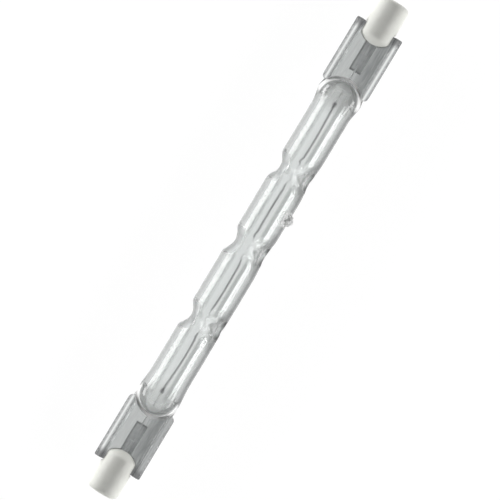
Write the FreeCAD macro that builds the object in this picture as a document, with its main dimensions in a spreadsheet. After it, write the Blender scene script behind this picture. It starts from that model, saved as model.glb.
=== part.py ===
"""Linear halogen bulb: a clear double-ended quartz lamp with ceramic caps.

The lamp's axis is X and its middle is the origin. The two flat pinch seals lie in the XY plane, and the
stub of the exhaust tube points to -Y. All sizes are millimetres.
"""
import FreeCAD, Part
import math
import os
import Sketcher

Vector = FreeCAD.Vector

SIZES = {
    # Quartz tube and its domed ends
    "tube_diameter": 8.7,
    "tube_wall": 1.1,
    "tube_length": 71.0,
    "bore_taper": 3.0,
    "bore_nose": 2.4,
    # Necks that hold the coil
    "neck_count": 3,
    "neck_pitch": 17.8,
    "neck_jaws": 3,
    "neck_depth": 1.35,
    "neck_mouth": 5.0,
    "shoulder_depth": 0.45,
    "shoulder_mouth": 6.6,
    "neck_land": 2.0,
    "neck_taper": 3.0,
    "coil_clearance": 0.1,
    # Stub of the exhaust tube
    "stub_height": 1.2,
    "stub_base": 4.4,
    "stub_tip": 1.5,
    "stub_blunt": 0.38,
    "stub_lift": 20,
    # Pinch seals
    "pinch_length": 12.65,
    "web_thickness": 2.2,
    "rail_setback": 2.5,
    "rail_width": 1.6,
    "rail_rise": 0.9,
    "rail_round": 0.6,
    "rail_nose": 0.8,
    "capillary": 0.03,
    # Coil and leads
    "coil_diameter": 0.56,
    "coil_wire": 0.12,
    "coil_grip": 2.0,
    "grip_clearance": 0.01,
    "free_lead": 3.65,
    "bend_length": 1.6,
    "outer_lead_diameter": 0.8,
    "outer_weld": 4.0,
    "inner_weld": 1.6,
    # Foils
    "foil_width": 2.6,
    "foil_thickness": 0.05,
    "foil_inset": 2.4,
    "foil_outset": 2.2,
    # Ceramic caps and their cement
    "cap_diameter": 7.0,
    "cap_length": 10.2,
    "cap_overlap": 3.9,
    "cap_dome": 1.7,
    "cap_edge": 1.1,
    "cap_side_gap": 0.25,
    "cement_layer": 0.15,
    "cement_end": 0.3,
    "cement_margin": 0.3,
    # Contacts and their recess
    "recess_diameter": 4.4,
    "recess_depth": 1.7,
    "contact_diameter": 3.4,
    "contact_thickness": 0.4,
    "contact_fit": 0.03,
    "shank_diameter": 1.6,
    "shank_length": 0.8,
}

# Largest share of a wall that a rounding may take, from one side of it and from both
ONE_SIDE = 0.9
BOTH_SIDES = 0.45

# Radii worked out from the sizes
TUBE_RADIUS = "Sizes.tube_diameter / 2"
BORE_RADIUS = f"({TUBE_RADIUS} - Sizes.tube_wall)"
NECK_BORE = "(Sizes.coil_diameter / 2 + Sizes.coil_clearance)"
COIL_BORE = "(Sizes.coil_diameter / 2 - Sizes.coil_wire)"
INNER_LEAD = f"({COIL_BORE} - Sizes.grip_clearance)"
OUTER_LEAD = "Sizes.outer_lead_diameter / 2"
CAP_RADIUS = "Sizes.cap_diameter / 2"
CAP_DOME_RADIUS = f"(({CAP_RADIUS})^2 + Sizes.cap_dome^2) / (2 * Sizes.cap_dome)"
CAP_BORE = "(Sizes.shank_diameter / 2 + Sizes.contact_fit)"

# Places along the axis, from the middle outwards
TUBE_END = "Sizes.tube_length / 2"
CAVITY_END = f"({TUBE_END} + {BORE_RADIUS})"
COIL_END = f"({CAVITY_END} - Sizes.free_lead)"
RAIL_START = f"({TUBE_END} + Sizes.rail_setback)"
FOOT = f"({TUBE_END} + {TUBE_RADIUS})"
PINCH_END = f"({FOOT} + Sizes.pinch_length)"
FOIL_START = f"({FOOT} + Sizes.foil_inset)"
FOIL_END = f"({PINCH_END} - Sizes.foil_outset)"
CAP_START = f"({PINCH_END} - Sizes.cap_overlap)"
SLOT_END = f"({PINCH_END} + Sizes.cement_end)"
CAP_END = f"({CAP_START} + Sizes.cap_length)"
RECESS_FLOOR = f"({CAP_END} - Sizes.recess_depth)"
CONTACT_BACK = f"({RECESS_FLOOR} - Sizes.contact_thickness)"
SHANK_BACK = f"({CONTACT_BACK} - Sizes.shank_length)"

# Places across the axis
RAIL_INSIDE = f"({CAP_RADIUS} + Sizes.cap_side_gap)"
RAIL_OUTSIDE = f"({RAIL_INSIDE} + Sizes.rail_width)"
WEB_FACE = "Sizes.web_thickness / 2"
SLOT_FACE = f"({WEB_FACE} + Sizes.cement_layer)"
FOIL_TOP = f"(-{OUTER_LEAD})"
WELD_LEVEL = f"({FOIL_TOP} + {INNER_LEAD})"

RIGHT = FreeCAD.Placement()
LEFT = FreeCAD.Placement(Vector(0, 0, 0), FreeCAD.Rotation(Vector(0, 0, 1), 180))
ENDS = {"right": RIGHT, "left": LEFT}

doc = FreeCAD.newDocument("LinearHalogenBulb")


def fill_sheet():
    """Put every driving size in the sheet, with its name as the cell's alias."""
    sheet = doc.addObject("Spreadsheet::Sheet", "Sizes")
    for row, (name, size) in enumerate(SIZES.items(), start=1):
        sheet.set(f"A{row}", name)
        sheet.set(f"B{row}", str(size))
        sheet.setAlias(f"B{row}", name)
    doc.recompute()


def new_body(label, placement=RIGHT):
    """Start a sub-part with its own label and place."""
    body = doc.addObject("PartDesign::Body", label)
    body.Label = label
    body.Placement = placement
    return body


def origin_of(body, role):
    """Find a plane or an axis of the body's own origin."""
    return next(item for item in body.Origin.OriginFeatures if item.Role == role)


def new_sketch(body, name, plane, offset="0"):
    """Attach a sketch to an origin plane, moved along the plane's normal."""
    sketch = body.newObject("Sketcher::SketchObject", name)
    sketch.AttachmentSupport = [(origin_of(body, plane), "")]
    sketch.MapMode = "FlatFace"
    sketch.setExpression("AttachmentOffset.Base.z", offset)
    return sketch


def section(body, name, offset):
    """Attach a sketch across the lamp's axis: its x is Y and its y is Z."""
    return new_sketch(body, name, "YZ_Plane", offset)


def bind(sketch, constraint, expression):
    """Add a constraint and tie its size to an expression."""
    number = sketch.addConstraint(constraint)
    sketch.setExpression(f"Constraints[{number}]", expression)


def bind_point(sketch, side, end, x, y):
    """Tie one end of a side, or its centre, to a place in the sketch."""
    for kind, expression in (("DistanceX", x), ("DistanceY", y)):
        size = float(sketch.evalExpression(expression))
        bind(sketch, Sketcher.Constraint(kind, -1, 1, side, end, size), expression)


def outline(sketch, corners):
    """Draw a closed outline through corners (x, y) or (x, y, radius, turn).

    A corner with a radius starts an arc to the next corner, which turns "left" or "right".
    """
    spots = [Vector(*(float(sketch.evalExpression(part)) for part in corner[:2])) for corner in corners]
    first_side = sketch.GeometryCount
    ends = []
    for number, corner in enumerate(corners):
        start = spots[number]
        finish = spots[(number + 1) % len(spots)]
        if len(corner) == 2:
            sketch.addGeometry(Part.LineSegment(start, finish))
            ends.append((1, 2))
        else:
            radius = float(sketch.evalExpression(corner[2]))
            sketch.addGeometry(arc_between(start, finish, radius, corner[3]))
            ends.append((1, 2) if corner[3] == "left" else (2, 1))
    for number, corner in enumerate(corners):
        side = first_side + number
        after = (number + 1) % len(corners)
        link = (side, ends[number][1], first_side + after, ends[after][0])
        sketch.addConstraint(Sketcher.Constraint("Coincident", *link))
        bind_point(sketch, side, ends[number][0], corner[0], corner[1])
        if len(corner) > 2:
            radius = float(sketch.evalExpression(corner[2]))
            bind(sketch, Sketcher.Constraint("Radius", side, radius), corner[2])


def arc_between(start, finish, radius, turn):
    """Make the shorter arc from start to finish."""
    chord = finish - start
    rise = math.sqrt(max(radius**2 - chord.Length**2 / 4, 0))
    to_left = Vector(-chord.y, chord.x).normalize()
    centre = (start + finish) * 0.5 + to_left * (rise if turn == "left" else -rise)
    angles = [math.atan2(spot.y - centre.y, spot.x - centre.x) for spot in (start, finish)]
    if turn == "right":
        angles.reverse()
    return Part.ArcOfCircle(Part.Circle(centre, Vector(0, 0, 1), radius), *angles)


def box_outline(sketch, x_low, x_high, y_low, y_high):
    """Draw a rectangle."""
    outline(sketch, [(x_low, y_low), (x_high, y_low), (x_high, y_high), (x_low, y_high)])


def circle(sketch, radius, x="0", y="0"):
    """Draw a circle."""
    centre = Vector(float(sketch.evalExpression(x)), float(sketch.evalExpression(y)))
    size = float(sketch.evalExpression(radius))
    side = sketch.addGeometry(Part.Circle(centre, Vector(0, 0, 1), size))
    bind_point(sketch, side, 3, x, y)
    bind(sketch, Sketcher.Constraint("Radius", side, size), radius)


def feature(body, kind, name, profile, **settings):
    """Add a feature that works on a profile, and settle it."""
    item = body.newObject(f"PartDesign::{kind}", name)
    item.Profile = profile
    for setting, value in settings.items():
        if isinstance(value, str) and setting in ("Length", "Angle"):
            item.setExpression(setting, value)
        else:
            setattr(item, setting, value)
    doc.recompute()
    check_cut(item)
    return item


def check_cut(item):
    """Stop if a feature that should cut leaves the solid as it was."""
    if item.TypeId in ("PartDesign::Pocket", "PartDesign::Groove"):
        if item.Shape.Volume >= item.BaseFeature.Shape.Volume:
            raise RuntimeError(f"{item.Name} cuts nothing")


def turned(body, kind, name, sketch):
    """Revolve a profile, or groove with it, round the lamp's axis."""
    return feature(body, kind, name, sketch, ReferenceAxis=(sketch, ["H_Axis"]), Angle=360)


def at_both_ends(body, name, originals):
    """Mirror features from the right end to the left one."""
    mirror = body.newObject("PartDesign::Mirrored", name)
    mirror.Originals = originals
    mirror.MirrorPlane = (origin_of(body, "YZ_Plane"), [""])
    body.Tip = mirror
    doc.recompute()
    return mirror


def along_axis(body, name):
    """Make a row of copies at the pitch of the necks."""
    row = body.newObject("PartDesign::LinearPattern", name)
    row.Direction = (origin_of(body, "X_Axis"), [""])
    row.setExpression("Length", "Sizes.neck_pitch * (Sizes.neck_count - 1)")
    row.setExpression("Occurrences", "Sizes.neck_count")
    return row


def tube_corners():
    """List half the tube's outline, closed by a ball end at each side."""
    return [
        (FOOT, "0", TUBE_RADIUS, "left"),
        (TUBE_END, TUBE_RADIUS),
        (f"-({TUBE_END})", TUBE_RADIUS, TUBE_RADIUS, "left"),
        (f"-{FOOT}", "0"),
    ]


def bore_corners():
    """List half the bore's outline, tapered towards the leads at each side."""
    nose = "Sizes.bore_nose / 2"
    taper = f"({CAVITY_END} - Sizes.bore_taper)"
    return [
        (CAVITY_END, "0"),
        (CAVITY_END, nose),
        (taper, BORE_RADIUS),
        (f"-{taper}", BORE_RADIUS),
        (f"-{CAVITY_END}", nose),
        (f"-{CAVITY_END}", "0"),
    ]


def pinch_corners():
    """List the corners of the pinch's H section: a thin web between two rounded rails."""
    rail_top = f"({WEB_FACE} + Sizes.rail_rise)"
    rounding = f"min(Sizes.rail_round; {BOTH_SIDES} * Sizes.rail_width; {ONE_SIDE} * Sizes.rail_rise)"
    shoulder = f"({rail_top} - {rounding})"
    inside_round = f"({RAIL_INSIDE} + {rounding})"
    outside_round = f"({RAIL_OUTSIDE} - {rounding})"
    quarter = [
        (RAIL_OUTSIDE, shoulder),
        (outside_round, rail_top),
        (inside_round, rail_top),
        (RAIL_INSIDE, shoulder),
        (RAIL_INSIDE, WEB_FACE),
    ]
    arcs = {0, 2}
    corners = []
    for y_sign, z_sign in (("", ""), ("-", ""), ("-", "-"), ("", "-")):
        backwards = (y_sign == "-") != (z_sign == "-")
        order = reversed(range(len(quarter))) if backwards else range(len(quarter))
        for number in order:
            y, z = quarter[number]
            corner = (f"{y_sign}({y})", f"{z_sign}({z})")
            starts_arc = (number - 1 if backwards else number) in arcs
            corners.append(corner + (rounding, "left") if starts_arc else corner)
    return corners


def nose_corners(end, inwards, y_sign):
    """List the corners of what is cut off a rail's outer corner, seen from above, to round it."""
    radius = f"min(Sizes.rail_nose; {ONE_SIDE} * Sizes.rail_width)"
    corner = (end, f"{y_sign}{RAIL_OUTSIDE}")
    on_end = (end, f"{y_sign}({RAIL_OUTSIDE} - {radius})")
    on_side = (f"{end} {inwards} {radius}", f"{y_sign}{RAIL_OUTSIDE}")
    turn = "left" if (inwards == "-") == (y_sign == "") else "right"
    return [corner, on_end + (radius, turn), on_side]


def build_envelope():
    """Build the quartz: tube, domed ends, pinches, bore, necks, exhaust stub and seal channels."""
    body = new_body("quartz_envelope")

    tube = new_sketch(body, "TubeProfile", "XY_Plane")
    outline(tube, tube_corners())
    turned(body, "Revolution", "Tube", tube)

    pinch_section = section(body, "PinchSection", RAIL_START)
    outline(pinch_section, pinch_corners())
    pinch = feature(body, "Pad", "Pinch", pinch_section, Length=f"{PINCH_END} - {RAIL_START}")
    nose = new_sketch(body, "RailNoses", "XY_Plane")
    for y_sign in ("", "-"):
        outline(nose, nose_corners(RAIL_START, "+", y_sign))
        outline(nose, nose_corners(PINCH_END, "-", y_sign))
    noses = feature(body, "Pocket", "RoundNoses", nose, Type="ThroughAll", SideType="Symmetric")
    at_both_ends(body, "PinchedEnds", [pinch, noses])

    bore = new_sketch(body, "BoreProfile", "XY_Plane")
    outline(bore, bore_corners())
    turned(body, "Groove", "Bore", bore)

    press_necks(body)
    add_exhaust_stub(body)
    cut_seal_channels(body)
    return body


def press_necks(body):
    """Close the bore round the coil at each neck, and press the jaws' hollows into the outside."""
    first_neck = "(-Sizes.neck_pitch * (Sizes.neck_count - 1) / 2)"
    land = "Sizes.neck_land / 2"
    mouth = f"({land} + Sizes.neck_taper)"
    throat = new_sketch(body, "ThroatProfile", "XY_Plane")
    outline(throat, [
        (f"{first_neck} - {land}", NECK_BORE),
        (f"{first_neck} + {land}", NECK_BORE),
        (f"{first_neck} + {mouth}", BORE_RADIUS),
        (f"{first_neck} - {mouth}", BORE_RADIUS),
    ])
    ring = turned(body, "Revolution", "Throat", throat)
    throats = along_axis(body, "Throats")
    throats.Originals = [ring]
    body.Tip = throats
    doc.recompute()

    shoulder = jaw_cut(body, "Shoulder", first_neck, "Sizes.shoulder_mouth", "Sizes.shoulder_depth")
    press = jaw_cut(body, "JawPress", first_neck, "Sizes.neck_mouth", "Sizes.neck_depth")
    necks = body.newObject("PartDesign::MultiTransform", "Necks")
    necks.Originals = [shoulder, press]
    round_axis = body.newObject("PartDesign::PolarPattern", "Jaws")
    round_axis.Axis = (origin_of(body, "X_Axis"), [""])
    round_axis.Angle = 360
    round_axis.setExpression("Occurrences", "Sizes.neck_jaws")
    necks.Transformations = [round_axis, along_axis(body, "NeckRow")]
    body.Tip = necks
    doc.recompute()


def jaw_cut(body, name, place, mouth, depth):
    """Cut a round-bottomed hollow across the tube's +Y side, of a given length and depth."""
    radius = f"(({mouth})^2 / 4 + ({depth})^2) / (2 * {depth})"
    jaw = new_sketch(body, f"{name}Profile", "XY_Plane")
    circle(jaw, radius, place, f"{TUBE_RADIUS} - {depth} + {radius}")
    return feature(body, "Pocket", name, jaw, Type="ThroughAll", SideType="Symmetric")


def add_exhaust_stub(body):
    """Add the melted stub of the exhaust tube, halfway between two necks."""
    root = f"(-({TUBE_RADIUS} - Sizes.tube_wall / 2))"
    reach = f"(-({TUBE_RADIUS} + Sizes.stub_height))"
    stub = stub_sketch(body, "StubProfile")
    outline(stub, [
        ("0", root),
        ("0", reach),
        ("Sizes.stub_tip / 2 - Sizes.stub_blunt", reach),
        ("Sizes.stub_tip / 2", f"{reach} + Sizes.stub_blunt"),
        ("Sizes.stub_base / 2", root),
    ])
    feature(body, "Revolution", "Stub", stub, ReferenceAxis=(stub, ["V_Axis"]), Angle=360)


def stub_sketch(body, name):
    """Attach a sketch through the stub's axis, which is the sketch's own -y."""
    sketch = new_sketch(body, name, "XY_Plane")
    sketch.setExpression("AttachmentOffset.Base.x", "Sizes.neck_pitch / 2")
    sketch.AttachmentOffset.Rotation.Axis = Vector(1, 0, 0)
    sketch.setExpression("AttachmentOffset.Rotation.Angle", "-Sizes.stub_lift")
    return sketch


def cut_seal_channels(body):
    """Cut the room for the foils and the leads in the pinches."""
    foil = section(body, "FoilSlot", FOIL_START)
    half = "Sizes.foil_width / 2"
    box_outline(foil, f"-{half}", half, f"{FOIL_TOP} - Sizes.foil_thickness", FOIL_TOP)
    foil_slot = feature(body, "Pocket", "FoilRoom", foil, Length=f"{FOIL_END} - {FOIL_START}", Reversed=True)

    inner = section(body, "InnerLeadHole", TUBE_END)
    circle(inner, f"{INNER_LEAD} + Sizes.capillary", "0", WELD_LEVEL)
    inner_length = f"{FOIL_START} + Sizes.inner_weld - {TUBE_END}"
    inner_hole = feature(body, "Pocket", "InnerLeadRoom", inner, Length=inner_length, Reversed=True)

    outer = section(body, "OuterLeadHole", f"{FOIL_END} - Sizes.outer_weld")
    circle(outer, f"{OUTER_LEAD} + Sizes.capillary")
    outer_length = f"{PINCH_END} - {FOIL_END} + Sizes.outer_weld"
    outer_hole = feature(body, "Pocket", "OuterLeadRoom", outer, Length=outer_length, Reversed=True)
    at_both_ends(body, "SealChannels", [foil_slot, inner_hole, outer_hole])


def build_coil():
    """Build the filament's coil as a sleeve of the diameter of its fine turns."""
    body = new_body("filament_coil")
    turns = section(body, "CoilSection", "0")
    circle(turns, "Sizes.coil_diameter / 2")
    circle(turns, COIL_BORE)
    feature(body, "Pad", "Coil", turns, Length=f"2 * {COIL_END}", SideType="Symmetric")
    return body


def build_inner_lead(end, placement):
    """Build the wire from inside the coil's end, down a slight bend, to its weld on the foil."""
    body = new_body(f"inner_lead_{end}", placement)
    path = new_sketch(body, "LeadPath", "XZ_Plane")
    bend_start = f"{COIL_END} + (Sizes.free_lead - Sizes.bend_length) / 2"
    stops = [
        (f"{COIL_END} - Sizes.coil_grip", "0"),
        (bend_start, "0"),
        (f"{bend_start} + Sizes.bend_length", WELD_LEVEL),
        (f"{FOIL_START} + Sizes.inner_weld", WELD_LEVEL),
    ]
    spots = [Vector(*(float(path.evalExpression(part)) for part in stop)) for stop in stops]
    for number in range(len(stops) - 1):
        path.addGeometry(Part.LineSegment(spots[number], spots[number + 1]))
        bind_point(path, number, 1, *stops[number])
        if number:
            path.addConstraint(Sketcher.Constraint("Coincident", number - 1, 2, number, 1))
    bind_point(path, len(stops) - 2, 2, *stops[-1])
    wire = section(body, "LeadSection", stops[0][0])
    circle(wire, INNER_LEAD)
    feature(body, "AdditivePipe", "Lead", wire, Spine=(path, []), Transition="Right corner")
    return body


def build_foil(end, placement):
    """Build the thin foil that makes the gas-tight joint in the pinch."""
    body = new_body(f"seal_foil_{end}", placement)
    strip = section(body, "FoilSection", FOIL_START)
    half = "Sizes.foil_width / 2"
    box_outline(strip, f"-{half}", half, f"{FOIL_TOP} - Sizes.foil_thickness", FOIL_TOP)
    feature(body, "Pad", "Foil", strip, Length=f"{FOIL_END} - {FOIL_START}")
    return body


def build_outer_lead(end, placement):
    """Build the thicker wire from its weld on the foil to the contact."""
    body = new_body(f"outer_lead_{end}", placement)
    wire = section(body, "LeadSection", f"{FOIL_END} - Sizes.outer_weld")
    circle(wire, OUTER_LEAD)
    feature(body, "Pad", "Lead", wire, Length=f"{SHANK_BACK} - {FOIL_END} + Sizes.outer_weld")
    return body


def build_cap(end, placement):
    """Build the ceramic cap: turned outside, contact recess, stepped bore, and slot for the pinch."""
    body = new_body(f"ceramic_cap_{end}", placement)
    seat = "(Sizes.contact_diameter / 2 + Sizes.contact_fit)"
    recess = "Sizes.recess_diameter / 2"
    rim = f"({CAP_RADIUS} - {recess})"
    edge = f"min(Sizes.cap_edge; {ONE_SIDE} * {rim})"
    inside_slot = f"{CAP_START} + Sizes.cap_overlap / 2"
    profile = new_sketch(body, "CapProfile", "XY_Plane")
    outline(profile, [
        (CAP_START, "0"),
        (inside_slot, "0"),
        (inside_slot, CAP_BORE),
        (CONTACT_BACK, CAP_BORE),
        (CONTACT_BACK, seat),
        (RECESS_FLOOR, seat),
        (RECESS_FLOOR, recess),
        (CAP_END, recess),
        (CAP_END, f"{CAP_RADIUS} - {edge}"),
        (f"{CAP_END} - {edge}", CAP_RADIUS),
        (f"{CAP_START} + Sizes.cap_dome", CAP_RADIUS, CAP_DOME_RADIUS, "left"),
    ])
    turned(body, "Revolution", "Cap", profile)
    slot = new_sketch(body, "SlotProfile", "XZ_Plane")
    box_outline(slot, f"{CAP_START} - Sizes.cap_overlap", SLOT_END, f"-({SLOT_FACE})", SLOT_FACE)
    feature(body, "Pocket", "Slot", slot, Type="ThroughAll", SideType="Symmetric")
    return body


def build_cement(end, placement):
    """Build the cement between the cap's slot and the pinch: two layers joined past the web's end."""
    body = new_body(f"cap_cement_{end}", placement)
    margin = "Sizes.cement_margin"
    start = f"{CAP_START} + Sizes.cap_dome"
    half_width = f"(sqrt(({CAP_RADIUS})^2 - ({SLOT_FACE})^2) - {margin})"
    block = new_sketch(body, "SlotFill", "XZ_Plane")
    box_outline(block, start, SLOT_END, f"-({SLOT_FACE})", SLOT_FACE)
    feature(body, "Pad", "Cement", block, Length=f"2 * {half_width}", SideType="Symmetric")
    web = new_sketch(body, "WebRoom", "XZ_Plane")
    box_outline(web, f"{start} - {margin}", PINCH_END, f"-({WEB_FACE})", WEB_FACE)
    feature(body, "Pocket", "Web", web, Type="ThroughAll", SideType="Symmetric")
    lead = section(body, "LeadHole", PINCH_END)
    circle(lead, CAP_BORE)
    feature(body, "Pocket", "LeadRoom", lead, Length="Sizes.cement_end", Reversed=True)
    return body


def build_contact(end, placement):
    """Build the contact: a disc flush with the recess's floor, and a shank that the lead meets."""
    body = new_body(f"contact_button_{end}", placement)
    profile = new_sketch(body, "ContactProfile", "XY_Plane")
    outline(profile, [
        (SHANK_BACK, "0"),
        (RECESS_FLOOR, "0"),
        (RECESS_FLOOR, "Sizes.contact_diameter / 2"),
        (CONTACT_BACK, "Sizes.contact_diameter / 2"),
        (CONTACT_BACK, "Sizes.shank_diameter / 2"),
        (SHANK_BACK, "Sizes.shank_diameter / 2"),
    ])
    turned(body, "Revolution", "Contact", profile)
    return body


def build_all():
    """Build every sub-part, those of the two ends by the same functions."""
    fill_sheet()
    bodies = [build_envelope(), build_coil()]
    makers = (build_inner_lead, build_foil, build_outer_lead, build_cement, build_cap, build_contact)
    for end, placement in ENDS.items():
        bodies += [maker(end, placement) for maker in makers]
    doc.recompute()
    return bodies


def check_all(bodies):
    """Stop before anything is written if an object failed or a shape isn't sound."""
    for item in doc.Objects:
        if "Invalid" in item.State or "Error" in item.State:
            raise RuntimeError(f"{item.Name} failed: {item.State}")
    for body in bodies:
        if body.Shape.isNull() or not body.Shape.isValid() or not body.Shape.Solids:
            raise RuntimeError(f"{body.Label} has no sound shape")


def write_all(bodies):
    """Write each sub-part to its own file."""
    os.makedirs("parts", exist_ok=True)
    for body in bodies:
        body.Shape.exportStep(f"parts/{body.Label}.step")
        print(f"{body.Label}: {len(body.Shape.Solids)} solid, {body.Shape.Volume:.2f} mm3")


parts = build_all()
check_all(parts)
write_all(parts)
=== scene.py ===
"""Looks of a linear halogen bulb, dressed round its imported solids.

The lamp lies along X with its flat pinch seals in the XY plane, and its exhaust stub is on the -Y side.
The classes hold their sizes in millimetres, and the finished meshes are in metres.
"""
import logging
import math
from dataclasses import dataclass
from enum import Enum
from functools import cached_property
from typing import Any, Callable

import bpy
import numpy as np
from mathutils import Euler, Matrix, Vector


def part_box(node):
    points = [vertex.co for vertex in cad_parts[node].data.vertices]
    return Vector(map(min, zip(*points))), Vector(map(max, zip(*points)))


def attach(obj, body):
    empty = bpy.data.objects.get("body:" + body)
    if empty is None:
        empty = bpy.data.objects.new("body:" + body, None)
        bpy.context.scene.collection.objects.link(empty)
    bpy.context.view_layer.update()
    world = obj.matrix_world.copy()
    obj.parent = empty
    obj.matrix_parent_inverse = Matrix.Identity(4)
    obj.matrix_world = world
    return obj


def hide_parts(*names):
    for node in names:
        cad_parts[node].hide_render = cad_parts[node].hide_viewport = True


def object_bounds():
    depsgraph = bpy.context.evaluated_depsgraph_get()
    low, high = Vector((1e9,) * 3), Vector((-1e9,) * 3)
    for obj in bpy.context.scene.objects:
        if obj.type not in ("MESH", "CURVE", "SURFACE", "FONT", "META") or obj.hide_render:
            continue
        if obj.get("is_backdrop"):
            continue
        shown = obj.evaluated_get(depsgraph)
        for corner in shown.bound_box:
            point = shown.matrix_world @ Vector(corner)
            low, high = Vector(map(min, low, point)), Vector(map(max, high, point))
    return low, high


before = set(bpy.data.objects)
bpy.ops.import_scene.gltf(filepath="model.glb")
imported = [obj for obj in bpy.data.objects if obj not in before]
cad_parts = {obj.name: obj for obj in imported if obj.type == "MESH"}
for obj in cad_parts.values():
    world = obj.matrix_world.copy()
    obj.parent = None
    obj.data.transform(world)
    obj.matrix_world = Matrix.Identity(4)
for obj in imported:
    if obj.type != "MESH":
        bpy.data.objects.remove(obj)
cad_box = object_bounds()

MM = 0.001
BODY = "root"
SHARP_ANGLE = 60.0
LEAD_BEND_POINTS = 8
LEAD_SIDES = 20
FINE_DETAIL = 3.0
NOISE_SPAN = (0.3, 0.7)
TINY = 1e-6

Field = Callable[[np.ndarray], np.ndarray]
Colour = tuple[float, float, float]
Grain = tuple[float, float, float]
Span = tuple[float, float]
Band = tuple[float, float, float, float]

log = logging.getLogger("halogen_bulb")


class End(Enum):
    """The two ends of the lamp, with the sign of X there."""

    RIGHT = 1
    LEFT = -1

    @property
    def label(self) -> str:
        """The end's name as the solids have it."""
        return self.name.lower()

    def place(self, points: np.ndarray) -> np.ndarray:
        """Turn points of the right end half a turn about Z if this is the left end.

        Args:
            points: Points of the right end, their axes last.

        Returns:
            The same points at this end.
        """
        return points * np.array([self.value, self.value, 1])


def node_box(node: str) -> tuple[Vector, Vector]:
    """Read a solid's box in millimetres.

    Args:
        node: The solid's name.

    Returns:
        Its lowest and its highest corner.
    """
    low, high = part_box(node)
    return low / MM, high / MM


# Distance fields, negative inside a shape


def join(first: np.ndarray, second: np.ndarray, softness: float) -> np.ndarray:
    """Join two fields with a fillet.

    Args:
        first: Distances to one shape.
        second: Distances to the other.
        softness: How wide the fillet is.

    Returns:
        Distances to the joined shape.
    """
    share = np.clip(0.5 + 0.5 * (second - first) / softness, 0, 1)
    return second + (first - second) * share - softness * share * (1 - share)


def cut(body: np.ndarray, tool: np.ndarray, softness: float) -> np.ndarray:
    """Cut one field out of another, with a rounded rim.

    Args:
        body: Distances to what is cut.
        tool: Distances to what is taken away.
        softness: How wide the rounding is.

    Returns:
        Distances to what is left.
    """
    return -join(-body, tool, softness)


def rounded_box(points: np.ndarray, centre: tuple, half: tuple, rounding: float) -> np.ndarray:
    """Measure to a box with rounded edges.

    Args:
        points: Where to measure, one point a row.
        centre: The box's centre.
        half: Half its size along each axis.
        rounding: Radius of its edges.

    Returns:
        A distance for each point.
    """
    past = np.abs(points - np.array(centre)) - np.array(half) + rounding
    outside = np.linalg.norm(np.maximum(past, 0), axis=1)
    return outside + np.minimum(past.max(axis=1), 0) - rounding


def rod(points: np.ndarray, start: float, finish: float, radius: float, rounding: float) -> np.ndarray:
    """Measure to a round rod along X with rounded ends.

    Args:
        points: Where to measure, one point a row.
        start: X of one end.
        finish: X of the other end.
        radius: The rod's radius.
        rounding: Radius of the edges of its ends.

    Returns:
        A distance for each point.
    """
    along = np.abs(points[:, 0] - (start + finish) / 2) - (finish - start) / 2 + rounding
    across = np.hypot(points[:, 1], points[:, 2]) - radius + rounding
    outside = np.hypot(np.maximum(along, 0), np.maximum(across, 0))
    return outside + np.minimum(np.maximum(along, across), 0) - rounding


def smooth_step(low: float, high: float, values: np.ndarray) -> np.ndarray:
    """Rise from 0 at low to 1 at high, with level ends."""
    share = np.clip((values - low) / (high - low), 0, 1)
    return share * share * (3 - 2 * share)


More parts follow.
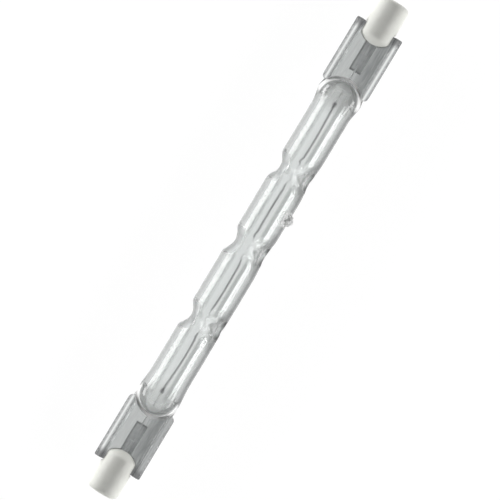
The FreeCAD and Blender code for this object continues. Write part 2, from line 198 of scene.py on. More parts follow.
class Skin:
    """A smooth skin of quads on the surface of a distance field."""

    PROBE = 0.004
    STEPS = 5

    def __init__(self, shape: Field, low: tuple, high: tuple, cell: float) -> None:
        """Skin a field.

        Args:
            shape: The field.
            low: Lowest corner of the space to skin.
            high: Highest corner of it.
            cell: Size of the skin's cells.
        """
        self.shape = shape
        self.cell = cell
        self.axes = [np.arange(a, b + cell, cell) for a, b in zip(low, high)]
        corners = np.stack(np.meshgrid(*self.axes, indexing="ij"), axis=-1)
        self.values = shape(corners.reshape(-1, 3)).reshape(corners.shape[:3])
        self.points, self.faces = self._net()
        self.points, self.normals = self._settle(self.points)

    def _net(self) -> tuple[np.ndarray, np.ndarray]:
        """Put a point in each cell that the surface passes, and a quad across each edge that it cuts.

        Returns:
            The points and the quads.
        """
        cells = [count - 1 for count in self.values.shape]
        total = np.zeros((*cells, 3))
        hits = np.zeros(cells)
        numbers = np.arange(np.prod(cells)).reshape(cells)
        quads = []
        for axis in range(3):
            order = (axis, (axis + 1) % 3, (axis + 2) % 3)
            value = np.moveaxis(self.values, order, (0, 1, 2))[:, 1:-1, 1:-1]
            before, after = value[:-1], value[1:]
            crossed = (before < 0) != (after < 0)
            share = np.where(crossed, before / np.where(crossed, before - after, 1), 0)
            lines = [self.axes[order[0]][:-1], self.axes[order[1]][1:-1], self.axes[order[2]][1:-1]]
            place = np.stack(np.meshgrid(*lines, indexing="ij"), axis=-1)
            place[..., 0] += share * self.cell
            place = place[..., np.argsort(order)] * crossed[..., None]
            turned_total = np.moveaxis(total, order, (0, 1, 2))
            turned_hits = np.moveaxis(hits, order, (0, 1, 2))
            turned_numbers = np.moveaxis(numbers, order, (0, 1, 2))
            rows, columns = value.shape[1:]
            around = []
            for down, right in ((0, 0), (1, 0), (1, 1), (0, 1)):
                part = (slice(None), slice(down, down + rows), slice(right, right + columns))
                turned_total[part] += place
                turned_hits[part] += crossed
                around.append(turned_numbers[part][crossed])
            quad = np.stack(around, axis=-1)
            inwards = after[crossed] < 0
            quad[inwards] = quad[inwards][:, ::-1]
            quads.append(quad)
        used = hits.reshape(-1) > 0
        points = total.reshape(-1, 3)[used] / hits.reshape(-1)[used][:, None]
        renumber = np.cumsum(used) - 1
        return points, renumber[np.concatenate(quads)]

    def _settle(self, points: np.ndarray) -> tuple[np.ndarray, np.ndarray]:
        """Move points onto the surface, and find its normals there.

        Args:
            points: Points close to the surface.

        Returns:
            The points on the surface and their normals.
        """
        slope = np.zeros_like(points)
        for _ in range(self.STEPS):
            for axis in range(3):
                step = np.zeros(3)
                step[axis] = self.PROBE
                rise = self.shape(points + step) - self.shape(points - step)
                slope[:, axis] = rise / (2 * self.PROBE)
            steepness = np.maximum((slope**2).sum(axis=1), TINY)
            points = points - (self.shape(points) / steepness)[:, None] * slope
        return points, slope / np.linalg.norm(slope, axis=1)[:, None]

    def inside_out(self) -> "Skin":
        """Turn the skin round, for the wall of a hollow.

        Returns:
            The skin.
        """
        self.faces = self.faces[:, ::-1]
        self.normals = -self.normals
        return self


# Meshes


def new_piece(name: str, mesh: bpy.types.Mesh) -> bpy.types.Object:
    """Put a finished mesh in the scene.

    Args:
        name: The piece's name.
        mesh: Its mesh, in place.

    Returns:
        The piece.
    """
    mesh.name = name
    piece = bpy.data.objects.new(name, mesh)
    bpy.context.scene.collection.objects.link(piece)
    return piece


def skin_mesh(skins: list[Skin], end: End = End.RIGHT) -> bpy.types.Mesh:
    """Make one mesh of skins, with the fields' own normals.

    Args:
        skins: The skins, outer walls and hollows.
        end: The end that they go to, if they are of the right end.

    Returns:
        The mesh.
    """
    starts = np.cumsum([0] + [len(skin.points) for skin in skins])
    points = end.place(np.concatenate([skin.points for skin in skins])) * MM
    normals = end.place(np.concatenate([skin.normals for skin in skins]))
    faces = np.concatenate([skin.faces + start for skin, start in zip(skins, starts)])
    mesh = bpy.data.meshes.new("skin")
    mesh.from_pydata(points.tolist(), [], faces.tolist())
    mesh.shade_smooth()
    mesh.normals_split_custom_set_from_vertices(normals.tolist())
    return mesh


def smooth(mesh: bpy.types.Mesh, sharp: float = SHARP_ANGLE) -> bpy.types.Mesh:
    """Shade a mesh smooth between its sharp edges.

    Args:
        mesh: The mesh, which is changed.
        sharp: The angle in degrees from which an edge is sharp.

    Returns:
        The mesh.
    """
    mesh.shade_smooth()
    mesh.set_sharp_from_angle(angle=math.radians(sharp))
    return mesh


def loft_mesh(rings: np.ndarray, sharp: float = SHARP_ANGLE) -> bpy.types.Mesh:
    """Make a closed mesh through rings of points, with a cap at each end.

    Args:
        rings: The rings in millimetres: ring, point, axis. They run anticlockwise seen from the last.
        sharp: The angle in degrees from which an edge is sharp.

    Returns:
        The mesh.
    """
    count, around = rings.shape[:2]
    faces = []
    for ring in range(count - 1):
        for spot in range(around):
            after = (spot + 1) % around
            low, high = ring * around, (ring + 1) * around
            faces.append((low + spot, low + after, high + after, high + spot))
    faces.append(tuple(reversed(range(around))))
    faces.append(tuple(range((count - 1) * around, count * around)))
    mesh = bpy.data.meshes.new("loft")
    mesh.from_pydata((rings.reshape(-1, 3) * MM).tolist(), [], faces)
    return smooth(mesh, sharp)


def line_mesh(points: np.ndarray) -> bpy.types.Mesh:
    """Make a line of edges.

    Args:
        points: Its points in millimetres, one a row.

    Returns:
        The mesh.
    """
    edges = [(number, number + 1) for number in range(len(points) - 1)]
    mesh = bpy.data.meshes.new("line")
    mesh.from_pydata((points * MM).tolist(), edges, [])
    return mesh


def joined(meshes: list[bpy.types.Mesh]) -> bpy.types.Mesh:
    """Join meshes into one.

    Args:
        meshes: The meshes, of one finish.

    Returns:
        One mesh of them all.
    """
    points, faces = [], []
    for mesh in meshes:
        start = len(points)
        points += [vertex.co[:] for vertex in mesh.vertices]
        faces += [[start + number for number in face.vertices] for face in mesh.polygons]
    whole = bpy.data.meshes.new("joined")
    whole.from_pydata(points, [], faces)
    return smooth(whole)


# Nodes


class NodeWriter:
    """Adds nodes to a tree, with their settings and the values or links of their sockets."""

    def __init__(self, tree: bpy.types.NodeTree) -> None:
        """Start on an empty tree."""
        self.tree = tree
        tree.nodes.clear()

    def node(self, kind: str, settings: dict[str, Any] | None = None, **sockets: Any) -> bpy.types.Node:
        """Add a node.

        Args:
            kind: The node's type.
            settings: Its settings, set first.
            sockets: Values or links of its inputs, by identifier with spaces as underlines.

        Returns:
            The node.
        """
        node = self.tree.nodes.new(kind)
        for name, setting in (settings or {}).items():
            setattr(node, name, setting)
        for name, value in sockets.items():
            self._feed(self._find(node, name), value)
        return node

    @staticmethod
    def _find(node: bpy.types.Node, name: str) -> bpy.types.NodeSocket:
        """Find an input by its identifier, written with underlines."""
        return next(socket for socket in node.inputs if socket.identifier.replace(" ", "_") == name)

    def _feed(self, socket: bpy.types.NodeSocket, value: Any) -> None:
        """Link a socket to an output, or set its value.

        Args:
            socket: The input.
            value: An output, a number that wraps one, or a plain value.
        """
        source = getattr(value, "socket", value)
        if isinstance(source, bpy.types.NodeSocket):
            self.tree.links.new(source, socket)
        else:
            socket.default_value = source


class Number:
    """A number that changes over a surface: Python's operators on it add Math nodes."""

    def __init__(self, paint: "Paint", socket: bpy.types.NodeSocket) -> None:
        """Wrap an output socket of a paint's nodes."""
        self.paint = paint
        self.socket = socket

    def _with(self, operation: str, first: Any, second: Any) -> "Number":
        """Add a Math node for an operation."""
        node = self.paint.node("ShaderNodeMath", {"operation": operation}, Value=first, Value_001=second)
        return Number(self.paint, node.outputs[0])

    def __add__(self, other: Any) -> "Number":
        """Add."""
        return self._with("ADD", self, other)

    __radd__ = __add__

    def __sub__(self, other: Any) -> "Number":
        """Take away."""
        return self._with("SUBTRACT", self, other)

    def __rsub__(self, other: Any) -> "Number":
        """Take away from a plain number."""
        return self._with("SUBTRACT", other, self)

    def __mul__(self, other: Any) -> "Number":
        """Multiply."""
        return self._with("MULTIPLY", self, other)

    __rmul__ = __mul__

    def __pow__(self, other: Any) -> "Number":
        """Raise to a power."""
        return self._with("POWER", self, other)

    def __rpow__(self, other: Any) -> "Number":
        """Raise a plain number to this power."""
        return self._with("POWER", other, self)

    def __abs__(self) -> "Number":
        """Drop the sign."""
        return self._with("ABSOLUTE", self, 0.0)

    def least(self, other: Any) -> "Number":
        """Take the lesser of two."""
        return self._with("MINIMUM", self, other)

    def most(self, other: Any) -> "Number":
        """Take the greater of two."""
        return self._with("MAXIMUM", self, other)

    def sine(self) -> "Number":
        """Take the sine."""
        return self._with("SINE", self, 0.0)

    def ramp(self, low: float, high: float) -> "Number":
        """Rise smoothly from 0 at low to 1 at high."""
        settings = {"interpolation_type": "SMOOTHSTEP"}
        node = self.paint.node("ShaderNodeMapRange", settings, Value=self, From_Min=low, From_Max=high)
        return Number(self.paint, node.outputs[0])

    def band(self, stops: Band) -> "Number":
        """Rise to 1 between the first two stops, and fall back between the last two."""
        return self.ramp(*stops[:2]) * (1 - self.ramp(*stops[2:]))


class Paint(NodeWriter):
    """The nodes of one material."""

    MATT_MIX_ROUGHNESS = 0.8

    def __init__(self, name: str) -> None:
        """Start a material."""
        self.material = bpy.data.materials.new(name)
        self.material.use_nodes = True
        super().__init__(self.material.node_tree)
        self.place = self.node("ShaderNodeTexCoord").outputs["Object"]

    def parts(self) -> tuple[Number, Number, Number]:
        """Split the place on the surface.

        Returns:
            Its X, Y and Z, in millimetres.
        """
        split = self.node("ShaderNodeSeparateXYZ", Vector=self.place)
        x, y, z = (Number(self, output) * (1 / MM) for output in split.outputs)
        return x, y, z

    def noise(self, grain: Grain, detail: float = 2.0) -> Number:
        """Give a noise from 0 to 1.

        Args:
            grain: Size of its patches along each axis, in millimetres.
            detail: How many finer layers it has.

        Returns:
            The noise.
        """
        scale = tuple(1 / (size * MM) for size in grain)
        spread = self.node("ShaderNodeMapping", Vector=self.place, Scale=scale)
        noise = self.node("ShaderNodeTexNoise", Vector=spread.outputs[0], Scale=1.0, Detail=detail)
        return Number(self, noise.outputs[0])

    def grazing(self) -> Number:
        """Give how nearly edge on a clear surface is seen, from 0 to 1."""
        return Number(self, self.node("ShaderNodeLayerWeight", Blend=0.5).outputs["Facing"])

    def mix(self, share: Any, first: Any, second: Any) -> bpy.types.NodeSocket:
        """Mix two colours.

        Args:
            share: How much of the second there is.
            first: One colour.
            second: The other.

        Returns:
            The mixed colour.
        """
        colours = [(*tone, 1) if isinstance(tone, tuple) else tone for tone in (first, second)]
        node = self.node(
            "ShaderNodeMix", {"data_type": "RGBA"}, Factor_Float=share, A_Color=colours[0],
            B_Color=colours[1],
        )
        return next(output for output in node.outputs if output.identifier == "Result_Color")

    def bump(self, height: Number, depth: float) -> bpy.types.NodeSocket:
        """Give normals for a height from 0 to 1 that is so many millimetres deep."""
        return self.node("ShaderNodeBump", Strength=1.0, Distance=depth * MM, Height=height).outputs[0]

    def finish(
        self,
        inside: bpy.types.Node | None = None,
        matt_mix: tuple[Number, Colour] | None = None,
        **sockets: Any,
    ) -> bpy.types.Material:
        """Close the material with its surface.

        Args:
            inside: The node of what fills it, if light passes it.
            matt_mix: The share and the colour of a matt surface mixed over it, if it has one; the quartz
                uses it for a painted highlight.
            sockets: Values or links of the surface's inputs.

        Returns:
            The material.
        """
        surface = self.node("ShaderNodeBsdfPrincipled", **sockets)
        # A matt surface mixed over the glossy one; on the quartz it paints a highlight.
        if matt_mix is not None:
            share, tone = matt_mix
            matt = self.node(
                "ShaderNodeBsdfPrincipled", Base_Color=(*tone, 1), Roughness=self.MATT_MIX_ROUGHNESS
            )
            surface = self.node(
                "ShaderNodeMixShader", Fac=share, Shader=surface.outputs[0], Shader_001=matt.outputs[0]
            )
        output = self.node("ShaderNodeOutputMaterial", Surface=surface.outputs[0])
        if inside is not None:
            self.tree.links.new(inside.outputs[0], output.inputs["Volume"])
        return self.material


class PathTree(NodeWriter):
    """A geometry tree that lays a round wire along a path."""

    def __init__(self, name: str) -> None:
        """Start a tree with one output and the inputs that every wire has."""
        super().__init__(bpy.data.node_groups.new(name, "GeometryNodeTree"))
        self.tree.interface.new_socket("Geometry", in_out="OUTPUT", socket_type="NodeSocketGeometry")
        self.inputs: dict[str, str] = {}
        self.add_input("Path", "NodeSocketGeometry")
        self.add_input("Wire Radius", "NodeSocketFloat")
        self.add_input("Finish", "NodeSocketMaterial")
        self.group_input: bpy.types.Node | None = None

    def add_input(self, name: str, kind: str) -> None:
        """Add a named input and keep its identifier."""
        item = self.tree.interface.new_socket(name, in_out="INPUT", socket_type=kind)
        self.inputs[name] = item.identifier

    def given(self, name: str) -> bpy.types.NodeSocket:
        """Give the tree's own end of an input.

        Args:
            name: The input's name.

        Returns:
            The socket to link from.
        """
        if self.group_input is None:
            self.group_input = self.node("NodeGroupInput")
        return self.group_input.outputs[name]

    def close(self, path: bpy.types.NodeSocket, sides: int) -> None:
        """End the tree: the wire round the path, made real, with its finish.

        Args:
            path: The curve.
            sides: How many sides the wire has.
        """
        radius, finish = self.given("Wire Radius"), self.given("Finish")
        ring = self.node("GeometryNodeCurvePrimitiveCircle", Resolution=sides, Radius=radius)
        wire = self.node(
            "GeometryNodeCurveToMesh", Curve=path, Profile_Curve=ring.outputs[0], Fill_Caps=True
        )
        real = self.node("GeometryNodeRealizeInstances", Geometry=wire.outputs[0])
        dressed = self.node("GeometryNodeSetMaterial", Geometry=real.outputs[0], Material=finish)
        self.node("NodeGroupOutput", **{self.tree.interface.items_tree[0].identifier: dressed.outputs[0]})

    def mesh(self, path: bpy.types.Mesh, **values: Any) -> bpy.types.Mesh:
        """Run the tree.

        Args:
            path: The mesh that the tree starts from.
            values: Values of the inputs, by name with spaces as underlines.

        Returns:
            The wire as a plain mesh.
        """
        carrier = bpy.data.objects.new("carrier", path)
        bpy.context.scene.collection.objects.link(carrier)
        modifier = carrier.modifiers.new("wire", "NODES")
        modifier.node_group = self.tree
        for name, value in values.items():
            modifier[self.inputs[name.replace("_", " ")]] = value
        ready = carrier.evaluated_get(bpy.context.evaluated_depsgraph_get())
        mesh = bpy.data.meshes.new_from_object(ready)
        carrier.modifiers.remove(modifier)
        bpy.data.objects.remove(carrier)
        return smooth(mesh)


def coil_tree(turn_points: int, sides: int) -> PathTree:
    """Build the tree of a coil along X.

    Args:
        turn_points: Points in a turn.
        sides: Sides of the wire.

    Returns:
        The tree, with inputs for the coil's start, length, radius and turns.
    """
    tree = PathTree("wire coil")
    for name in ("Start", "Length", "Coil Radius", "Turns"):
        tree.add_input(name, "NodeSocketFloat")
    spiral = tree.node(
        "GeometryNodeCurveSpiral", Resolution=turn_points, Rotations=tree.given("Turns"),
        Start_Radius=tree.given("Coil Radius"), End_Radius=tree.given("Coil Radius"),
        Height=tree.given("Length"),
    )
    start = tree.node("ShaderNodeCombineXYZ", X=tree.given("Start"))
    laid = tree.node(
        "GeometryNodeTransform", Geometry=spiral.outputs[0], Translation=start.outputs[0],
        Rotation=Euler((0, math.pi / 2, 0)),
    )
    tree.close(laid.outputs[0], sides)
    return tree


def lead_tree(bend_points: int, sides: int) -> PathTree:
    """Build the tree of a wire along a line of points with rounded bends.

    Args:
        bend_points: Points in a bend.
        sides: Sides of the wire.

    Returns:
        The tree, with an input for the bends' radius.
    """
    tree = PathTree("bent wire")
    tree.add_input("Bend Radius", "NodeSocketFloat")
    line = tree.node("GeometryNodeMeshToCurve", Mesh=tree.given("Path"))
    bent = tree.node(
        "GeometryNodeFilletCurve", Curve=line.outputs[0], Radius=tree.given("Bend Radius"),
        Count=bend_points, Limit_Radius=True,
    )
    tree.close(bent.outputs[0], sides)
    return tree


# Finishes


class QuartzPlaces:
    """Masks, from 0 to 1, of the places where the quartz isn't plainly clear."""

    def __init__(self, finish: "QuartzFinish", paint: Paint) -> None:
        """Measure along and across the lamp, and from its domes and its necks.

        Args:
            finish: The finish, which says where the places are.
            paint: The material's nodes.
        """
        self.finish = finish
        self.paint = paint
        self.x, self.y, self.z = paint.parts()
        self.along, self.across, self.down = abs(self.x), abs(self.y), 0 - self.y
        past = self.along - finish.dome_centre
        beyond = past.most(0.0)
        self.from_dome = (past * past + self.y * self.y) ** 0.5
        from_axis = (beyond * beyond + self.y * self.y + self.z * self.z) ** 0.5
        self.outer = from_axis.ramp(*finish.outer_radii)
        self.from_neck = abs(self.along - finish.neck_pitch).least(self.along)
        self.near_neck = 1 - self.from_neck.ramp(*finish.neck_reach)
        self.right = self.x.ramp(-finish.side_blend, finish.side_blend)
        self.upper = self.y.ramp(-finish.side_blend, finish.side_blend)
        # Painted shade: the +Y side, towards the stronger strip light, stays paler and the -Y side darker.
        self.pale = self.y.ramp(*finish.shade_side_span)

    @cached_property
    def tube(self) -> Number:
        """The tube's outer face, up to the domes."""
        return self.outer * (1 - self.along.ramp(*self.finish.rim_ends))

    @cached_property
    def rim(self) -> Number:
        """The tube's rim, where the glass is seen edge on, except at the notches; painted shade darkens it
        there.
        """
        return self.tube * self.paint.grazing().ramp(*self.finish.rim_span) * (1 - self.notch)

    @cached_property
    def lines(self) -> Number:
        """Painted shade: faint dark lines along the tube's top beside its highlights, which stop short of
        the necks.
        """
        both = self.y.band(self.finish.line_upper) + self.down.band(self.finish.line_lower)
        return both * self.tube * (1 - self.near_neck) * self.z.ramp(*self.finish.line_rise)

    @cached_property
    def notch(self) -> Number:
        """The necks' dips on the +Y side."""
        reach = 1 - self.from_neck.ramp(*self.finish.notch_reach)
        return reach * self.y.ramp(*self.finish.notch_side)

    @cached_property
    def arch(self) -> Number:
        """The arches between the jaw marks on the -Y side, which painted shade greys."""
        return (self.down - self.from_neck * self.finish.arch_slope).ramp(*self.finish.arch_top)

    @cached_property
    def neck_edge(self) -> Number:
        """The necks' outermost part on the -Y side."""
        return self.near_neck * self.down.ramp(*self.finish.neck_edge_side)

    @cached_property
    def dome(self) -> Number:
        """The domed ends, greyed by painted shade, fainter at the left one."""
        left = self.finish.dome_left_share
        ends = self.along.ramp(*self.finish.dome_span) * (self.right * (1 - left) + left)
        return ends * (1 - self.from_dome.ramp(*self.finish.foot_ring[:2]))

    @cached_property
    def shoulder(self) -> Number:
        """The sides and the noses of the hollow's ends."""
        sides = self.along.ramp(*self.finish.shoulder_span) * self.across.ramp(*self.finish.shoulder_side)
        noses = self.along.ramp(*self.finish.nose_span)
        return sides.most(noses) * (1 - self.outer) * (1 - self.pinch)

    @cached_property
    def foot(self) -> Number:
        """The arcs where the domes meet the pinches, which get a painted highlight."""
        return self.from_dome.band(self.finish.foot_ring) * self.along.ramp(*self.finish.foot_span)

    @cached_property
    def stub(self) -> Number:
        """The melted stub of the exhaust tube."""
        reach = 1 - abs(self.x - self.finish.stub_place).ramp(*self.finish.stub_reach)
        return reach * self.down.ramp(*self.finish.stub_side)

    @cached_property
    def bloom(self) -> Number:
        """A matt white mixed over the feet of the domes as a painted highlight, and over the stub to whiten
        it.
        """
        feet = self.from_dome.band(self.finish.bloom_ring) * self.along.ramp(*self.finish.foot_span)
        return self.outer * (feet * self.finish.bloom_share + self.stub * self.finish.stub_bloom)

    @cached_property
    def pinch(self) -> Number:
        """The flat seals past the domes."""
        return self.along.ramp(*self.finish.pinch_span) * self.from_dome.ramp(*self.finish.pinch_ring)

    @cached_property
    def web(self) -> Number:
        """The flats between the pinches' rails."""
        return self.pinch * (1 - self.across.ramp(*self.finish.web_edge))

    @cached_property
    def rail(self) -> Number:
        """The rails' whole width, which painted shade darkens."""
        return self.across.ramp(*self.finish.rail_edge)

    @cached_property
    def ridge(self) -> Number:
        """Painted highlights along the rails' ridges, fainter at the left end's lower one."""
        middle = 1 - abs(self.across - self.finish.ridge_place).ramp(0.0, self.finish.ridge_half)
        dull = (1 - self.right) * (1 - self.upper) * self.finish.faint_ridge_share
        return self.pinch * middle * (1 - dull)

    @cached_property
    def tip(self) -> Number:
        """The pinches' ends, which painted shade darkens."""
        return self.along.ramp(*self.finish.tip_span) * self.finish.tip_share


@dataclass(frozen=True)
class QuartzFinish:
    """Clear fused quartz, faintly brushed on the pinch seals, with painted shade and painted highlights
    laid in its colour where its optics darken or brighten it.

    Places are in millimetres. A span is where a mask rises from 0 to 1, and a band has a fall as well.
    """

    clear: Colour = (0.86, 0.875, 0.87)
    # Painted highlights on the rails' ridges and the domes' feet, and the stub's white.
    bright: Colour = (0.97, 0.98, 0.975)
    polish: float = 0.015
    refraction: float = 1.458
    depth_tone: Colour = (0.50, 0.515, 0.51)
    depth_density: float = 90.0
    outer_radii: Span = (3.6, 4.0)
    side_blend: float = 1.0
    # Painted shade of the tube's rim seen edge on, darker on the -Y side.
    rim_shade_lit_side: Colour = (0.48, 0.49, 0.485)
    rim_smoked: Colour = (0.13, 0.135, 0.135)
    rim_span: Span = (0.1, 0.55)
    rim_ends: Span = (35.0, 36.5)
    # Painted shade of the faint dark lines beside the tube's highlights.
    line_painted_shade: Colour = (0.36, 0.37, 0.365)
    line_upper: Band = (1.14, 1.75, 1.85, 2.26)
    line_lower: Band = (0.67, 1.25, 1.6, 1.98)
    line_rise: Span = (0.5, 1.5)
    # Painted shade of the necks' arches.
    arch_painted_shade: Colour = (0.58, 0.59, 0.585)
    neck_pitch: float = 17.8
    neck_reach: Span = (0.5, 3.6)
    neck_frost: float = 0.2
    neck_edge_side: Span = (2.9, 3.6)
    notch_reach: Span = (2.2, 4.4)
    notch_side: Span = (1.5, 2.8)
    notch_frost: float = 0.35
    arch_slope: float = 0.64
    arch_top: Span = (0.7, 1.3)
    # Painted shade of the domed ends, darker on the -Y side.
    dome_shade_lit_side: Colour = (0.71, 0.72, 0.715)
    dome_smoked: Colour = (0.58, 0.59, 0.585)
    dome_centre: float = 35.5
    dome_span: Span = (31.0, 37.0)
    dome_left_share: float = 0.6
    shoulder_span: Span = (35.2, 36.4)
    shoulder_side: Span = (1.3, 2.0)
    shoulder_frost: float = 0.55
    nose_span: Span = (37.0, 37.9)
    foot_span: Span = (34.6, 36.2)
    foot_ring: Band = (3.85, 4.1, 4.6, 4.95)
    foot_frost: float = 0.25
    # Matt white mixed over the domes' feet as a painted highlight, and over the stub.
    bloom_tone: Colour = (0.985, 0.985, 0.98)
    bloom_ring: Band = (4.0, 4.25, 4.7, 5.0)
    bloom_share: float = 0.88
    stub_place: float = 8.9
    stub_reach: Span = (1.1, 1.9)
    stub_side: Span = (2.5, 3.5)
    stub_frost: float = 0.3
    stub_bloom: float = 0.45
    # Painted shade of the pinch webs, grey and darker towards -Y.
    web_shade_lit_side: Colour = (0.48, 0.495, 0.49)
    smoked: Colour = (0.20, 0.21, 0.21)
    shade_side_span: Span = (-2.9, 1.0)
    pinch_span: Span = (36.0, 38.0)
    pinch_ring: Span = (4.1, 4.5)
    web_edge: Span = (3.45, 3.85)
    # Painted shade of the rails.
    rail_painted_shade: Colour = (0.32, 0.33, 0.33)
    rail_edge: Span = (3.65, 3.85)
    # A painted highlight along each rail's ridge.
    ridge_place: float = 4.55
    ridge_half: float = 0.42
    faint_ridge_share: float = 0.75
    # Painted shade of the rail tips.
    tip_painted_shade: Colour = (0.14, 0.14, 0.145)
    tip_span: Span = (50.1, 51.8)
    tip_share: float = 0.8
    streak_grain: Grain = (3.0, 0.16, 0.4)
    streak_span: Span = (0.4, 0.75)
    streak_share: float = 0.3
    cloud_grain: Grain = (1.6, 0.9, 0.9)
    brushed: float = 0.11
    brushed_streaks: float = 0.132
    relief: float = 0.05
    streak_relief: float = 0.6
    cloud_relief: float = 0.4

    def tone(self, paint: Paint, on: QuartzPlaces, streaks: Number) -> bpy.types.NodeSocket:
        """Lay the tones of the places one over the other: mostly painted shade, with painted highlights on
        the rails' ridges and the domes' feet, and white on the stub.

        Args:
            paint: The material's nodes.
            on: The masks of the places.
            streaks: The noise of the brushed webs.

        Returns:
            The colour.
        """
        # Painted shade on the webs, darker towards -Y, with the brushed streaks laid over it.
        shaded_web = paint.mix(on.pale, self.smoked, self.web_shade_lit_side)
        shaded_web = paint.mix(streaks.ramp(*self.streak_span) * self.streak_share, shaded_web, self.clear)
        layers = (
            (on.lines, self.line_painted_shade),
            (on.dome, paint.mix(on.pale, self.dome_smoked, self.dome_shade_lit_side)),
            # Painted shade on the tube's rim.
            (on.rim, paint.mix(on.pale, self.rim_smoked, self.rim_shade_lit_side)),
            (on.stub, self.bright),
            (on.pinch, paint.mix(on.rail, shaded_web, self.rail_painted_shade)),
            # Painted highlight on the rails' ridges.
            (on.ridge, self.bright),
            # Painted highlight on the domes' feet.
            (on.foot, self.bright),
            (on.tip, self.tip_painted_shade),
        )
        # Painted shade greys the necks' arches.
        tone = paint.mix(on.arch, self.clear, self.arch_painted_shade)
        for mask, colour in layers:
            tone = paint.mix(mask, tone, colour)
        return tone

    def roughness(self, on: QuartzPlaces, streaks: Number) -> Number:
        """Add the brushing of the webs and the frost of the worked places to the polish.

        Args:
            on: The masks of the places.
            streaks: The noise of the brushed webs.

        Returns:
            The roughness.
        """
        webs = on.web * (self.brushed + streaks * self.brushed_streaks)
        necks = on.near_neck * self.neck_frost + (on.notch + on.neck_edge) * self.notch_frost
        ends = on.shoulder * self.shoulder_frost + on.foot * self.foot_frost
        return self.polish + webs + necks + ends + on.stub * self.stub_frost

    def material(self) -> bpy.types.Material:
        """Make the material.

        Returns:
            The material.
        """
        paint = Paint("quartz")
        on = QuartzPlaces(self, paint)
        streaks = paint.noise(self.streak_grain, FINE_DETAIL)
        clouds = paint.noise(self.cloud_grain)
        height = on.web * (streaks * self.streak_relief + clouds * self.cloud_relief)
        inside = paint.node(
            "ShaderNodeVolumeAbsorption", Color=(*self.depth_tone, 1), Density=self.depth_density
        )
        return paint.finish(
            inside, (on.bloom, self.bloom_tone), Base_Color=self.tone(paint, on, streaks),
            Roughness=self.roughness(on, streaks), IOR=self.refraction, Transmission_Weight=1.0,
            Normal=paint.bump(height, self.relief),
        )


@dataclass(frozen=True)
class MetalFinish:
    """A metal, bare or dulled by heat, whose tone and gloss vary in streaks."""

    name: str
    tone: Colour
    dark: Colour
    bareness: float
    roughness: float
    grain: Grain
    spread: float = 0.2
    relief: float = 0.004

    def material(self) -> bpy.types.Material:
        """Make the material.

        Returns:
            The material.
        """
        paint = Paint(self.name)
        streaks = paint.noise(self.grain, FINE_DETAIL)
        share = streaks.ramp(*NOISE_SPAN)
        return paint.finish(
            Base_Color=paint.mix(share, self.dark, self.tone), Metallic=self.bareness,
            Roughness=self.roughness + share * self.spread, Normal=paint.bump(streaks, self.relief),
        )


@dataclass(frozen=True)
class FoilFinish:
    """Thin rolled foil: streaked along its length, and darker along one edge and at its weld."""

    tone: Colour = (0.96, 0.97, 0.97)
    dull: Colour = (0.76, 0.77, 0.78)
    edge_and_weld_dark: Colour = (0.26, 0.26, 0.27)
    grain: Grain = (1.8, 0.14, 0.3)
    edge_span: Span = (0.86, 1.14)
    edge_dark_share: float = 0.4
    edge_streaks: float = 0.5
    weld_span: Span = (42.45, 42.8)
    weld_burn: float = 0.7
    bareness: float = 0.12
    roughness: float = 0.4
    spread: float = 0.2
    relief: float = 0.02

    def material(self) -> bpy.types.Material:
        """Make the material.

        Returns:
            The material.
        """
        paint = Paint("seal foil")
        x, y, _ = paint.parts()
        streaks = paint.noise(self.grain, FINE_DETAIL)
        share = streaks.ramp(*NOISE_SPAN)
        # The +Y edge is darker, in streaks.
        edge = y.ramp(*self.edge_span) * (self.edge_dark_share + share * self.edge_streaks)
        weld = (1 - abs(x).ramp(*self.weld_span)) * self.weld_burn
        rolled = paint.mix(share, self.dull, self.tone)
        return paint.finish(
            Base_Color=paint.mix((edge + weld).least(1.0), rolled, self.edge_and_weld_dark), Metallic=self.bareness,
            Roughness=self.roughness + share * self.spread, Normal=paint.bump(streaks, self.relief),
        )


@dataclass(frozen=True)
class ContactFinish:
    """Plated metal with the rings of the tool that faced it, and a dull worn middle."""

    tone: Colour = (0.74, 0.71, 0.66)
    worn: Colour = (0.46, 0.43, 0.40)
    worn_span: Span = (0.4, 1.12)
    worn_share: float = 0.6
    stain_grain: float = 0.6
    stain_detail: float = 4.0
    stain_span: Span = (0.45, 0.75)
    stain_share: float = 0.5
    roughness: float = 0.26
    spread: float = 0.25
    ring: float = 0.09
    relief: float = 0.006

    def material(self) -> bpy.types.Material:
        """Make the material.

        Returns:
            The material.
        """
        paint = Paint("contact")
        _, y, z = paint.parts()
        out = (y * y + z * z) ** 0.5
        rings = (out * (math.tau / self.ring)).sine() * 0.5 + 0.5
        stains = paint.noise((self.stain_grain,) * 3, self.stain_detail)
        middle = 1 - out.ramp(*self.worn_span)
        share = (middle * self.worn_share + stains.ramp(*self.stain_span) * self.stain_share).least(1.0)
        return paint.finish(
            Base_Color=paint.mix(share, self.tone, self.worn), Metallic=1.0,
            Roughness=self.roughness + share * self.spread, Normal=paint.bump(rings, self.relief),
        )


